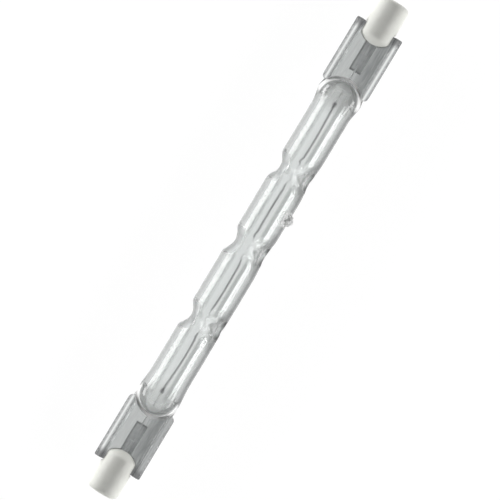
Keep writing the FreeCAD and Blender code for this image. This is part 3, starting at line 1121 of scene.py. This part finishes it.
@dataclass(frozen=True)
class CeramicFinish:
    """Unglazed fired clay: matt, with a fine grain and faint mottling."""

    name: str
    tone: Colour
    shade: Colour
    grain: float
    relief: float
    roughness: float
    spread: float = 0.15
    shine: float = 0.35
    patch_grains: float = 9.0
    patch_span: Span = (0.35, 0.75)
    patch_share: float = 0.5
    speck_span: Span = (0.62, 0.78)
    speck_share: float = 0.35

    def material(self) -> bpy.types.Material:
        """Make the material.

        Returns:
            The material.
        """
        paint = Paint(self.name)
        fine = paint.noise((self.grain,) * 3, FINE_DETAIL)
        broad = paint.noise((self.grain * self.patch_grains,) * 3)
        patches = broad.ramp(*self.patch_span) * self.patch_share
        share = (patches + fine.ramp(*self.speck_span) * self.speck_share).least(1.0)
        return paint.finish(
            Base_Color=paint.mix(share, self.tone, self.shade),
            Roughness=self.roughness + fine * self.spread, Specular_IOR_Level=self.shine,
            Normal=paint.bump(fine, self.relief),
        )


@dataclass(frozen=True)
class Finishes:
    """All the finishes of the lamp, as materials."""

    quartz: bpy.types.Material
    filament: bpy.types.Material
    lead: bpy.types.Material
    foil: bpy.types.Material
    ceramic: bpy.types.Material
    cement: bpy.types.Material
    contact: bpy.types.Material

    @classmethod
    def made(cls) -> "Finishes":
        """Make every finish.

        Returns:
            The finishes.
        """
        filament = MetalFinish(
            "filament", tone=(0.46, 0.46, 0.47), dark=(0.26, 0.26, 0.265), bareness=0.7, roughness=0.38,
            grain=(0.6, 0.2, 0.2),
        )
        lead = MetalFinish(
            "lead wire", tone=(0.90, 0.90, 0.90), dark=(0.70, 0.70, 0.71), bareness=0.2, roughness=0.32,
            grain=(2.0, 0.06, 0.06),
        )
        ceramic = CeramicFinish(
            "ceramic", tone=(0.87, 0.875, 0.825), shade=(0.79, 0.795, 0.74), grain=0.22, relief=0.02,
            roughness=0.55,
        )
        cement = CeramicFinish(
            "cement", tone=(0.74, 0.73, 0.68), shade=(0.55, 0.54, 0.50), grain=0.16, relief=0.05,
            roughness=0.75,
        )
        return cls(
            quartz=QuartzFinish().material(), filament=filament.material(), lead=lead.material(),
            foil=FoilFinish().material(), ceramic=ceramic.material(), cement=cement.material(),
            contact=ContactFinish().material(),
        )


def settle_piece(
    piece: bpy.types.Object, nodes: list[str], finish: bpy.types.Material
) -> bpy.types.Object:
    """Give a piece its finish, its body and the solids that it stands for.

    Args:
        piece: The finished piece.
        nodes: The solids that it replaces.
        finish: Its material.

    Returns:
        The piece.
    """
    piece.data.materials.clear()
    piece.data.materials.append(finish)
    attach(piece, BODY)
    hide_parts(*nodes)
    return piece


# The lamp's pieces


@dataclass
class QuartzEnvelope:
    """The clear tube with its necks, domed ends, exhaust stub and flat pinch seals."""

    tube_radius: float
    rail_outside: float
    pinch_end: float
    straight_half: float = 35.5
    wall: float = 1.1
    neck_places: tuple[float, ...] = (-17.8, 0.0, 17.8)
    jaw_turns: tuple[float, ...] = (0.0, 120.0, 240.0)
    neck_depths: tuple[float, ...] = (1.4, 1.2, 1.3)
    neck_mouth: float = 4.9
    neck_soft: float = 0.9
    wrinkle: float = 0.1
    wrinkle_reach: float = 2.6
    wrinkle_waves: tuple[tuple[float, ...], ...] = (
        (3.3, 2.1, 1.4, 0.5), (-2.2, 3.4, 1.1, 1.9), (1.3, -2.6, 3.0, 0.2)
    )
    waists: tuple[float, ...] = (0.15, 0.45, 0.4)
    waist_reach: float = 2.6
    bore_straight: float = 33.0
    bore_end: float = 38.75
    flares: tuple[float, float] = (0.2, 0.1)
    flare_from: tuple[float, float] = (32.5, 30.5)
    flare_full: float = 38.2
    web_half: float = 1.1
    web_round: float = 0.2
    rail_start: float = 38.0
    rail_half: float = 0.8
    rail_top: float = 2.0
    rail_round: float = 0.75
    rail_soft: float = 0.35
    rail_end_soft: float = 0.3
    foot_soft: float = 0.45
    stub_place: float = 8.9
    stub_lift: float = 20.0
    stub_root: float = 3.4
    stub_tip: float = 3.95
    stub_radii: tuple[float, float] = (1.75, 1.4)
    lump_turns: tuple[float, float, float] = (5.2, 4.6, 4.0)
    lump_starts: tuple[float, float, float] = (0.4, 0.9, 0.2)
    lump_depth: float = 0.3
    stub_soft: float = 0.4
    cell: float = 0.28
    margin: float = 1.0

    @classmethod
    def from_frame(cls) -> "QuartzEnvelope":
        """Take the outer sizes from the solid."""
        high = node_box("quartz_envelope")[1]
        return cls(tube_radius=high.z, rail_outside=high.y, pinch_end=high.x)

    def tube(self, points: np.ndarray) -> np.ndarray:
        """Measure to the tube, with ball ends, waists on the -Y side and a flare before the pinches.

        Args:
            points: Where to measure, one point a row.

        Returns:
            A distance for each point.
        """
        x, y, z = points.T
        past = np.maximum(np.abs(x) - self.straight_half, 0)
        facing = 0.5 - 0.5 * y / np.maximum(np.hypot(y, z), TINY)
        waist = sum(
            depth * np.exp(-(((x - place) / self.waist_reach) ** 2))
            for place, depth in zip(self.neck_places, self.waists)
        )
        round_size = np.sqrt(past**2 + (y / self.widening(x)) ** 2 + z**2)
        return round_size - self.tube_radius + facing * waist

    def widening(self, x: np.ndarray) -> np.ndarray:
        """Give how much wider than high the tube is, by the flares of its right and left ends.

        Args:
            x: Places along the tube.

        Returns:
            Its width over its height at each.
        """
        start = np.where(x > 0, self.flare_from[0], self.flare_from[1])
        most = np.where(x > 0, self.flares[0], self.flares[1])
        return 1 + most * smooth_step(start, self.flare_full, np.abs(x))

    def jaw_marks(self, points: np.ndarray, body: np.ndarray) -> np.ndarray:
        """Press the jaws' hollows into the tube, with the wrinkles that they leave.

        Args:
            points: Where to measure, one point a row.
            body: Distances to the tube.

        Returns:
            Distances to the pressed tube.
        """
        for turn in self.jaw_turns:
            angle = math.radians(turn)
            out = points[:, 1] * math.cos(angle) + points[:, 2] * math.sin(angle)
            for place, depth in zip(self.neck_places, self.neck_depths):
                radius = (self.neck_mouth**2 / 4 + depth**2) / (2 * depth)
                centre = self.tube_radius - depth + radius
                jaw = np.hypot(points[:, 0] - place, out - centre) - radius
                body = cut(body, jaw, self.neck_soft)
        return body + self.wrinkles(points)

    def wrinkles(self, points: np.ndarray) -> np.ndarray:
        """Measure the wrinkles of the necks: each wave has a turn for each axis, and a start.

        Args:
            points: Where to measure, one point a row.

        Returns:
            A depth for each point.
        """
        offsets = (points[:, 0] - place for place in self.neck_places)
        near = sum(np.exp(-((offset / self.wrinkle_reach) ** 2)) for offset in offsets)
        waves = sum(np.sin(points @ np.array(turns) + start) for *turns, start in self.wrinkle_waves)
        return self.wrinkle / len(self.wrinkle_waves) * near * waves

    def stub(self, points: np.ndarray) -> np.ndarray:
        """Measure to the melted stub of the exhaust tube.

        Args:
            points: Where to measure, one point a row.

        Returns:
            A distance for each point.
        """
        lift = math.radians(self.stub_lift)
        out = np.array([0, -math.cos(lift), math.sin(lift)])
        offset = points - np.array([self.stub_place, 0, 0])
        share = np.clip((offset @ out - self.stub_root) / (self.stub_tip - self.stub_root), 0, 1)
        spine = (self.stub_root + share * (self.stub_tip - self.stub_root))[:, None] * out
        radius = self.stub_radii[0] + share * (self.stub_radii[1] - self.stub_radii[0])
        lumps = np.prod(np.sin(points * np.array(self.lump_turns) + np.array(self.lump_starts)), axis=1)
        return np.linalg.norm(offset - spine, axis=1) - radius + self.lump_depth * lumps

    def pinch(self, points: np.ndarray) -> np.ndarray:
        """Measure to the flat seals: a web between two round-edged rails, the same at both ends.

        Args:
            points: Where to measure, one point a row.

        Returns:
            A distance for each point.
        """
        folded = np.abs(points)
        rail_middle = self.rail_outside - self.rail_half
        web_half_length = (self.pinch_end - self.straight_half) / 2
        web = rounded_box(
            folded, (self.pinch_end - web_half_length, 0, 0),
            (web_half_length, rail_middle, self.web_half), self.web_round,
        )
        rail_half_length = (self.pinch_end - self.rail_start) / 2
        rail = rounded_box(
            folded, (self.pinch_end - rail_half_length + self.rail_round, rail_middle, 0),
            (rail_half_length + self.rail_round, self.rail_half, self.rail_top), self.rail_round,
        )
        rail = cut(rail, self.pinch_end - folded[:, 0], self.rail_end_soft)
        return join(web, rail, self.rail_soft)

    def outside(self, points: np.ndarray) -> np.ndarray:
        """Measure to the envelope's outside.

        Args:
            points: Where to measure, one point a row.

        Returns:
            A distance for each point.
        """
        tube = self.jaw_marks(points, self.tube(points))
        tube = join(tube, self.stub(points), self.stub_soft)
        return join(tube, self.pinch(points), self.foot_soft)

    def hollow(self, points: np.ndarray) -> np.ndarray:
        """Measure to the hollow: a bore with egg-shaped ends, under an even wall at the necks.

        Args:
            points: Where to measure, one point a row.

        Returns:
            A distance for each point.
        """
        x, y, z = points.T
        radius = self.tube_radius - self.wall
        past = np.maximum(np.abs(x) - self.bore_straight, 0) * radius / (self.bore_end - self.bore_straight)
        bore = np.sqrt(past**2 + (y / self.widening(x)) ** 2 + z**2) - radius
        narrow = self.jaw_marks(points, self.tube(points)) + self.wall
        return np.maximum(narrow, bore)

    def build(self, finish: bpy.types.Material) -> bpy.types.Object:
        """Build the envelope with its hollow.

        Args:
            finish: The quartz.

        Returns:
            The envelope.
        """
        sizes = (self.pinch_end, self.rail_outside, self.tube_radius)
        high = tuple(size + self.margin for size in sizes)
        low = tuple(-size for size in high)
        skins = [
            Skin(self.outside, low, high, self.cell),
            Skin(self.hollow, low, high, self.cell).inside_out(),
        ]
        piece = new_piece("quartz_bulb", skin_mesh(skins))
        return settle_piece(piece, ["quartz_envelope"], finish)


@dataclass(frozen=True)
class Winding:
    """A stretch of coil along X."""

    start: float
    length: float
    radius: float
    wire: float
    pitch: float

    def mesh(self, tree: PathTree, finish: bpy.types.Material) -> bpy.types.Mesh:
        """Wind the stretch.

        Args:
            tree: The tree that makes coils.
            finish: The wire's material.

        Returns:
            The stretch's mesh.
        """
        return tree.mesh(
            bpy.data.meshes.new("start"), Finish=finish, Wire_Radius=self.wire / 2 * MM,
            Start=self.start * MM, Length=self.length * MM, Coil_Radius=self.radius * MM,
            Turns=round(self.length / self.pitch),
        )


@dataclass
class Filament:
    """The filament: four coils with straight wire at the necks, and closed turns and clamps at its ends."""

    end: float
    outer_radius: float
    wire: float = 0.1
    pitch: float = 0.22
    closed_pitch: float = 0.103
    skip: float = 2.5
    clamp: float = 0.9
    clamp_wire: float = 0.2
    turn_points: int = 14
    wire_sides: int = 6
    held: tuple[float, ...] = (-33.5, -17.8, 0.0, 17.8, 33.5)
    bows: tuple[float, ...] = (-0.36, -0.30, 0.20, -0.26)

    @classmethod
    def from_frame(cls) -> "Filament":
        """Take the coil's length and radius from the solid."""
        high = node_box("filament_coil")[1]
        return cls(end=high.x, outer_radius=high.z)

    def coils(self) -> list[Span]:
        """Find where the four coils lie.

        Returns:
            The start and the end of each, along X.
        """
        necks = self.held[1:-1]
        starts = [self.held[0], *(neck + self.skip for neck in necks)]
        finishes = [*(neck - self.skip for neck in necks), self.held[-1]]
        return list(zip(starts, finishes))

    def windings(self) -> list[Winding]:
        """List what is wound: the coils, the closed turns at both ends and the thicker clamps round them.

        Returns:
            The stretches.
        """
        radius = self.outer_radius - self.wire / 2
        last = self.end - self.wire / 2
        spans = [(low, high, self.pitch) for low, high in self.coils()]
        spans += [(self.held[-1], last, self.closed_pitch), (-last, self.held[0], self.closed_pitch)]
        windings = [Winding(low, high - low, radius, self.wire, pitch) for low, high, pitch in spans]
        half_clamp = self.clamp_wire / 2
        for start in (self.end - half_clamp - self.clamp, half_clamp - self.end):
            windings.append(
                Winding(start, self.clamp, self.outer_radius + half_clamp, self.clamp_wire, self.clamp_wire)
            )
        return windings

    def bow(self, mesh: bpy.types.Mesh) -> None:
        """Bow the coils sideways between the places that hold them.

        Args:
            mesh: The straight filament, which is changed.
        """
        for vertex in mesh.vertices:
            for start, finish, bow in zip(self.held, self.held[1:], self.bows):
                share = (vertex.co.x / MM - start) / (finish - start)
                if 0 < share < 1:
                    vertex.co.y += bow * MM * math.sin(math.pi * share)

    def build(self, leads: PathTree, finish: bpy.types.Material) -> bpy.types.Object:
        """Wind the coils, and lay the straight wire between them.

        Args:
            leads: The tree that makes straight wire.
            finish: The filament's material.

        Returns:
            The filament.
        """
        tree = coil_tree(self.turn_points, self.wire_sides)
        meshes = [winding.mesh(tree, finish) for winding in self.windings()]
        level = self.wire / 2 - self.outer_radius
        coils = self.coils()
        for (_, low), (high, _) in zip(coils, coils[1:]):
            line = line_mesh(np.array([(low, 0, level), (high, 0, level)]))
            meshes.append(leads.mesh(line, Wire_Radius=self.wire / 2 * MM, Finish=finish, Bend_Radius=0.0))
        whole = joined(meshes)
        self.bow(whole)
        piece = new_piece("filament_turns", whole)
        return settle_piece(piece, ["filament_coil"], finish)


class Lead(Enum):
    """The two leads of an end, as the solids name them."""

    INNER = "inner"
    OUTER = "outer"


@dataclass
class SealEnd:
    """One end's metal: the inner lead, the foil and the outer lead."""

    end: End
    foil_ripple: float = 0.012
    ripple_waves: tuple[tuple[float, float, float], ...] = ((5.3, 1.1, 1.0), (2.9, -2.3, 0.6))
    foil_stations: int = 60
    foil_around: int = 28
    bend_start: float = 36.12
    bend_length: float = 1.6
    bend_radius: float = 1.5

    def wire(self, tree: PathTree, lead: Lead, finish: bpy.types.Material) -> bpy.types.Object:
        """Lay a lead along its solid.

        Args:
            tree: The tree that makes the wire.
            lead: Which of the two.
            finish: The wire's material.

        Returns:
            The lead.
        """
        node = f"{lead.value}_lead_{self.end.label}"
        low, high = node_box(f"{lead.value}_lead_right")
        radius = high.y
        level = low.z + radius
        stops = [(low.x, 0.0), (high.x, level)]
        if lead is Lead.INNER:
            stops[1:1] = [(self.bend_start, 0.0), (self.bend_start + self.bend_length, level)]
        line = line_mesh(self.end.place(np.array([(x, 0.0, z) for x, z in stops])))
        mesh = tree.mesh(line, Wire_Radius=radius * MM, Finish=finish, Bend_Radius=self.bend_radius * MM)
        piece = new_piece(f"{lead.value}_wire_{self.end.label}", mesh)
        return settle_piece(piece, [node], finish)

    def foil(self, finish: bpy.types.Material) -> bpy.types.Object:
        """Roll the foil: thick in the middle, with thin edges and a slight ripple.

        Args:
            finish: The foil's material.

        Returns:
            The foil.
        """
        node = f"seal_foil_{self.end.label}"
        low, high = node_box("seal_foil_right")
        half_width, half_thick = high.y, (high.z - low.z) / 2
        stations = np.linspace(low.x, high.x, self.foil_stations)
        turns = np.linspace(0, math.tau, self.foil_around, endpoint=False)
        rings = np.zeros((len(stations), len(turns), 3))
        for number, x in enumerate(stations):
            y = half_width * np.cos(turns)
            ripple = self.foil_ripple * sum(
                share * np.sin(along * x + across * y) for along, across, share in self.ripple_waves
            )
            z = (low.z + high.z) / 2 + half_thick * np.sin(turns) + ripple
            rings[number] = np.stack([np.full_like(y, x), y, z], axis=1)
        mesh = loft_mesh(self.end.place(rings))
        piece = new_piece(f"foil_{self.end.label}", mesh)
        return settle_piece(piece, [node], finish)

    def build(self, tree: PathTree, finishes: Finishes) -> list[bpy.types.Object]:
        """Build both leads and the foil between them.

        Args:
            tree: The tree that makes the leads.
            finishes: The lamp's materials.

        Returns:
            The three pieces.
        """
        return [
            self.wire(tree, Lead.INNER, finishes.lead),
            self.foil(finishes.foil),
            self.wire(tree, Lead.OUTER, finishes.lead),
        ]


@dataclass
class EndCap:
    """A ceramic cap cemented on a pinch, with the contact in its recess.

    The contact's bevels and its worn middle are steps: a depth, with an inset or a radius.
    """

    end: End
    cap_start: float = 48.6
    dome: float = 1.7
    dome_soft: float = 0.25
    edge: float = 1.2
    slot_half: float = 1.25
    slot_end: float = 52.8
    slot_round: float = 0.15
    slot_soft: float = 0.1
    recess_radius: float = 2.2
    recess_floor: float = 57.1
    recess_round: float = 0.1
    recess_soft: float = 0.25
    disc_room: float = 1.73
    bore_radius: float = 0.83
    bore_soft: float = 0.05
    overrun: float = 1.0
    shank_radius: float = 0.8
    shank_length: float = 0.8
    shank_bevel: float = 0.08
    back_bevel: Span = (0.06, 0.05)
    rim_bevel: tuple[Span, ...] = ((0.1, 0.0), (0.02, 0.08), (0.0, 0.2))
    worn_middle: tuple[Span, ...] = ((0.0, 1.0), (0.03, 0.9), (0.05, 0.7), (0.06, 0.02))
    pole: float = 0.02
    button_sides: int = 56
    button_sharp: float = 40.0
    cell: float = 0.2
    margin: float = 0.6

    def clay(self, points: np.ndarray) -> np.ndarray:
        """Measure to the right cap.

        Args:
            points: Where to measure, one point a row.

        Returns:
            A distance for each point.
        """
        high = node_box("ceramic_cap_right")[1]
        radius, finish = high.z, high.x
        dome_radius = (radius**2 + self.dome**2) / (2 * self.dome)
        body = rod(points, self.cap_start - 2 * radius, finish, radius, self.edge)
        behind = points - np.array([self.cap_start + dome_radius, 0, 0])
        behind[:, 0] = np.minimum(behind[:, 0], 0)
        body = cut(body, dome_radius - np.linalg.norm(behind, axis=1), self.dome_soft)
        recess_end = finish + 2 * self.overrun
        recess = rod(points, self.recess_floor, recess_end, self.recess_radius, self.recess_round)
        body = cut(body, recess, self.recess_soft)
        disc_back = node_box("contact_button_right")[0].x + self.shank_length
        rooms = ((self.slot_end - self.overrun, self.bore_radius), (disc_back, self.disc_room))
        for start, room in rooms:
            tool = rod(points, start, self.recess_floor + self.overrun, room, self.bore_soft)
            body = cut(body, tool, self.bore_soft)
        slot_half = (self.slot_end - self.cap_start, 2 * radius, self.slot_half)
        slot = rounded_box(points, (self.cap_start, 0, 0), slot_half, self.slot_round)
        return cut(body, slot, self.slot_soft)

    def button_rings(self) -> np.ndarray:
        """Turn the contact's profile: shank, disc with a bevelled rim, and a shallow worn middle.

        Returns:
            The rings: ring, point, axis.
        """
        low, high = node_box("contact_button_right")
        shank, disc = self.shank_radius, high.y
        back = low.x + self.shank_length
        profile = [
            (low.x, self.pole), (low.x, shank - self.shank_bevel), (low.x + self.shank_bevel, shank),
            (back, shank), (back, disc - self.back_bevel[1]), (back + self.back_bevel[0], disc),
        ]
        profile += [(high.x - depth, disc - inset) for depth, inset in self.rim_bevel]
        profile += [(high.x - depth, radius) for depth, radius in self.worn_middle]
        turns = np.linspace(0, math.tau, self.button_sides, endpoint=False)
        return np.array([
            np.stack([np.full_like(turns, x), radius * np.cos(turns), radius * np.sin(turns)], axis=1)
            for x, radius in profile
        ])

    def build(self, finishes: Finishes) -> list[bpy.types.Object]:
        """Build the cap and its contact, and dress the cement.

        Args:
            finishes: The lamp's materials.

        Returns:
            The cap, the contact and the cement.
        """
        label = self.end.label
        low, high = node_box("ceramic_cap_right")
        clay = Skin(
            self.clay, (self.cap_start - self.margin, low.y - self.margin, low.z - self.margin),
            (high.x + self.margin, high.y + self.margin, high.z + self.margin), self.cell,
        )
        cap = new_piece(f"cap_{label}", skin_mesh([clay], self.end))
        settle_piece(cap, [f"ceramic_cap_{label}"], finishes.ceramic)
        mesh = loft_mesh(self.end.place(self.button_rings()), self.button_sharp)
        button = new_piece(f"contact_{label}", mesh)
        settle_piece(button, [f"contact_button_{label}"], finishes.contact)
        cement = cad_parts[f"cap_cement_{label}"]
        for slot in cement.material_slots:
            slot.material = finishes.cement
        return [cap, button, cement]


# The studio


class StripSide(Enum):
    """The sides of the lamp that a strip light stands on, with the sign of Y there."""

    UPPER_LEFT = 1
    LOWER_RIGHT = -1


@dataclass(frozen=True)
class StripLight:
    """A long soft light beside the lamp, along its axis."""

    side: StripSide
    elevation: float
    height: float
    radiance: float = 7.5
    distance: float = 200.0
    length: float = 330.0

    def build(self) -> None:
        """Stand the light beside the lamp, turned to it."""
        angle = math.radians(self.elevation)
        out = Vector((0, self.side.value * math.cos(angle), math.sin(angle)))
        lamp = bpy.data.lights.new(f"strip_{self.side.name.lower()}", "AREA")
        lamp.shape = "RECTANGLE"
        lamp.size, lamp.size_y = self.length * MM, self.height * MM
        lamp.energy = self.radiance * math.pi * lamp.size * lamp.size_y
        light = bpy.data.objects.new(lamp.name, lamp)
        side = Vector((1, 0, 0))
        turn = Matrix((side, out.cross(side), out)).transposed()
        light.matrix_world = Matrix.Translation(out * self.distance * MM) @ turn.to_4x4()
        light.visible_camera = False
        bpy.context.scene.collection.objects.link(light)


@dataclass(frozen=True)
class Studio:
    """The pale floor, the lights and the camera of the photograph."""

    axis_angle: float = 58.95
    middle_px: tuple[float, float] = (248.4, 247.8)
    picture_px: float = 500.0
    px_per_mm: float = 4.86
    lens: float = 200.0
    sensor: float = 36.0
    floor_size: float = 12000.0
    floor_glow: float = 0.96
    floor_tone: float = 0.1
    sky: float = 1.0
    flag_size: float = 6000.0
    flag_height: float = 700.0
    flag_tone: float = 0.03
    sheet_roughness: float = 0.9
    sheet_shine: float = 0.1
    strips: tuple[StripLight, ...] = (
        StripLight(StripSide.UPPER_LEFT, elevation=12.0, height=60.0),
        StripLight(StripSide.LOWER_RIGHT, elevation=20.0, height=44.0),
    )
    bounces: int = 32

    def sheet(self, name: str, size: float, level: float, tone: float, glow: float) -> bpy.types.Object:
        """Lay a plain level sheet.

        Args:
            name: The sheet's name.
            size: Its sides, in millimetres.
            level: Its height, in metres.
            tone: How much light it sends back.
            glow: How much light it gives of its own.

        Returns:
            The sheet.
        """
        half = size * MM / 2
        mesh = bpy.data.meshes.new(name)
        corners = [(-half, -half, level), (half, -half, level), (half, half, level), (-half, half, level)]
        mesh.from_pydata(corners, [], [(0, 1, 2, 3)])
        mesh.materials.append(
            Paint(name).finish(
                Base_Color=(tone, tone, tone, 1), Roughness=self.sheet_roughness,
                Specular_IOR_Level=self.sheet_shine, Emission_Color=(1, 1, 1, 1), Emission_Strength=glow,
            )
        )
        sheet = new_piece(name, mesh)
        sheet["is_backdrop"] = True
        return sheet

    def lights(self) -> None:
        """Light the lamp from both sides, under an even white sky."""
        for strip in self.strips:
            strip.build()
        world = bpy.data.worlds.new("sky")
        world.use_nodes = True
        world.node_tree.nodes["Background"].inputs["Color"].default_value = (self.sky,) * 3 + (1,)
        bpy.context.scene.world = world
        bpy.context.scene.view_settings.view_transform = "Standard"
        paths = bpy.context.scene.cycles
        paths.max_bounces = paths.glossy_bounces = paths.transmission_bounces = self.bounces

    def camera(self) -> None:
        """Look straight down, with the lamp's axis rising to the right as in the photograph."""
        angle = math.radians(self.axis_angle)
        right = Vector((math.cos(angle), -math.sin(angle), 0))
        up = Vector((math.sin(angle), math.cos(angle), 0))
        shift = [(self.picture_px / 2 - place) / self.px_per_mm * MM for place in self.middle_px]
        distance = self.picture_px / self.px_per_mm * MM * self.lens / self.sensor
        data = bpy.data.cameras.new("camera")
        data.lens, data.sensor_width = self.lens, self.sensor
        camera = bpy.data.objects.new("camera", data)
        turn = Matrix((right, up, right.cross(up))).transposed()
        place = right * shift[0] - up * shift[1] + Vector((0, 0, distance))
        camera.matrix_world = Matrix.Translation(place) @ turn.to_4x4()
        bpy.context.scene.collection.objects.link(camera)
        bpy.context.scene.camera = camera

    def build(self) -> None:
        """Lay the floor, hang the dark flag that keeps light off the lamp's top, and set up the rest."""
        self.sheet("floor", self.floor_size, cad_box[0].z, self.floor_tone, self.floor_glow)
        flag = self.sheet("flag", self.flag_size, self.flag_height * MM, self.flag_tone, 0.0)
        flag.visible_camera = flag.visible_glossy = flag.visible_transmission = False
        self.lights()
        self.camera()


def write_sizes() -> None:
    """Measure the solids' box and the dressed lamp's box; nothing is written or kept."""
    boxes = {"cad": cad_box, "visual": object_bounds()}
    {name: [list(corner) for corner in box] for name, box in boxes.items()}


def main() -> None:
    """Build the lamp's pieces in order, and the studio round them."""
    logging.basicConfig(level=logging.INFO, format="%(name)s %(message)s")
    finishes = Finishes.made()
    leads = lead_tree(LEAD_BEND_POINTS, LEAD_SIDES)
    pieces = [
        QuartzEnvelope.from_frame().build(finishes.quartz),
        Filament.from_frame().build(leads, finishes.filament),
    ]
    for end in End:
        pieces += SealEnd(end).build(leads, finishes)
        pieces += EndCap(end).build(finishes)
    for piece in pieces:
        log.info("%s: %d faces", piece.name, len(piece.data.polygons))
    Studio().build()
    write_sizes()


if __name__ == "__main__":
    main()
